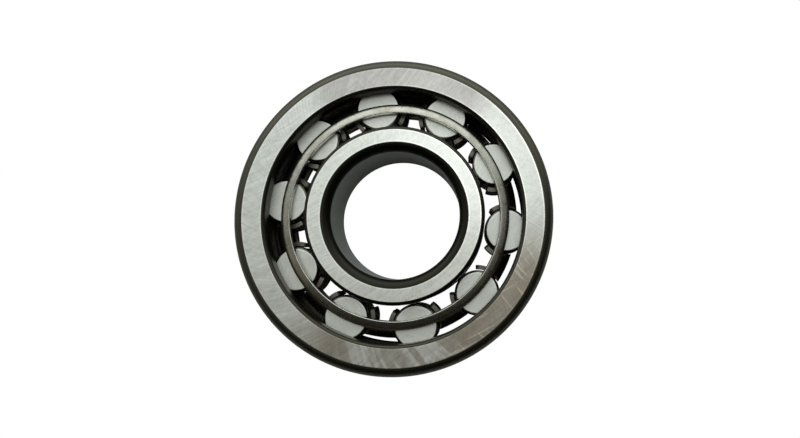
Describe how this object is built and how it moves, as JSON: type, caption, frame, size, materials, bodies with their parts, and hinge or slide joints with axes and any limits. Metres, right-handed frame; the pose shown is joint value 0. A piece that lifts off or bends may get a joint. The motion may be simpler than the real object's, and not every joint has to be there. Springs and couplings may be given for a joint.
{
  "type": "cylindrical roller bearing",
  "caption": "Single-row cylindrical roller bearing with a flanged outer ring, a plain removable inner ring and a pressed-steel window cage.",
  "frame": {"origin": "centre of the bore, on the bearing's lower face", "axes": "+Z along the bearing's axis, towards its upper face"},
  "size_m": [0.062, 0.062, 0.017],
  "materials": {
    "outer_ring": "ground bearing steel, dark turned corners",
    "inner_ring": "ground bearing steel, dark turned corners",
    "roller": "fine ground bearing steel",
    "cage": "pressed sheet steel, satin with a dark film"
  },
  "bodies": {
    "outer_ring": {"outer_ring": "outer_ring"},
    "inner_ring": {"inner_ring": "inner_ring"},
    "cage": {"cage": "cage"},
    "roller_01": {"roller_01": "roller"},
    "roller_02": {"roller_02": "roller"},
    "roller_03": {"roller_03": "roller"},
    "roller_04": {"roller_04": "roller"},
    "roller_05": {"roller_05": "roller"},
    "roller_06": {"roller_06": "roller"},
    "roller_07": {"roller_07": "roller"},
    "roller_08": {"roller_08": "roller"},
    "roller_09": {"roller_09": "roller"},
    "roller_10": {"roller_10": "roller"}
  },
  "joints": [
    {"name": "inner_ring_spin", "type": "hinge", "parent": "outer_ring", "child": "inner_ring", "pos_m": [0, 0, 0.0085], "axis": [0, 0, 1], "continuous": true},
    {"name": "cage_orbit", "type": "hinge", "parent": "outer_ring", "child": "cage", "pos_m": [0, 0, 0.0085], "axis": [0, 0, 1], "continuous": true},
    {"name": "roller_01_spin", "type": "hinge", "parent": "cage", "child": "roller_01", "pos_m": [0.0193, 0.01056, 0.0085], "axis": [0, 0, 1], "continuous": true},
    {"name": "roller_02_spin", "type": "hinge", "parent": "cage", "child": "roller_02", "pos_m": [0.0094, 0.01989, 0.0085], "axis": [0, 0, 1], "continuous": true},
    {"name": "roller_03_spin", "type": "hinge", "parent": "cage", "child": "roller_03", "pos_m": [-0.00408, 0.02162, 0.0085], "axis": [0, 0, 1], "continuous": true},
    {"name": "roller_04_spin", "type": "hinge", "parent": "cage", "child": "roller_04", "pos_m": [-0.01601, 0.01509, 0.0085], "axis": [0, 0, 1], "continuous": true},
    {"name": "roller_05_spin", "type": "hinge", "parent": "cage", "child": "roller_05", "pos_m": [-0.02182, 0.0028, 0.0085], "axis": [0, 0, 1], "continuous": true},
    {"name": "roller_06_spin", "type": "hinge", "parent": "cage", "child": "roller_06", "pos_m": [-0.0193, -0.01056, 0.0085], "axis": [0, 0, 1], "continuous": true},
    {"name": "roller_07_spin", "type": "hinge", "parent": "cage", "child": "roller_07", "pos_m": [-0.0094, -0.01989, 0.0085], "axis": [0, 0, 1], "continuous": true},
    {"name": "roller_08_spin", "type": "hinge", "parent": "cage", "child": "roller_08", "pos_m": [0.00408, -0.02162, 0.0085], "axis": [0, 0, 1], "continuous": true},
    {"name": "roller_09_spin", "type": "hinge", "parent": "cage", "child": "roller_09", "pos_m": [0.01601, -0.01509, 0.0085], "axis": [0, 0, 1], "continuous": true},
    {"name": "roller_10_spin", "type": "hinge", "parent": "cage", "child": "roller_10", "pos_m": [0.02182, -0.0028, 0.0085], "axis": [0, 0, 1], "continuous": true}
  ],
  "couplings": [
    {"joint": "cage_orbit", "follows": "inner_ring_spin", "ratio": 0.39773},
    {"joint": "roller_01_spin", "follows": "inner_ring_spin", "ratio": -2.3422},
    {"joint": "roller_02_spin", "follows": "inner_ring_spin", "ratio": -2.3422},
    {"joint": "roller_03_spin", "follows": "inner_ring_spin", "ratio": -2.3422},
    {"joint": "roller_04_spin", "follows": "inner_ring_spin", "ratio": -2.3422},
    {"joint": "roller_05_spin", "follows": "inner_ring_spin", "ratio": -2.3422},
    {"joint": "roller_06_spin", "follows": "inner_ring_spin", "ratio": -2.3422},
    {"joint": "roller_07_spin", "follows": "inner_ring_spin", "ratio": -2.3422},
    {"joint": "roller_08_spin", "follows": "inner_ring_spin", "ratio": -2.3422},
    {"joint": "roller_09_spin", "follows": "inner_ring_spin", "ratio": -2.3422},
    {"joint": "roller_10_spin", "follows": "inner_ring_spin", "ratio": -2.3422}
  ]
}
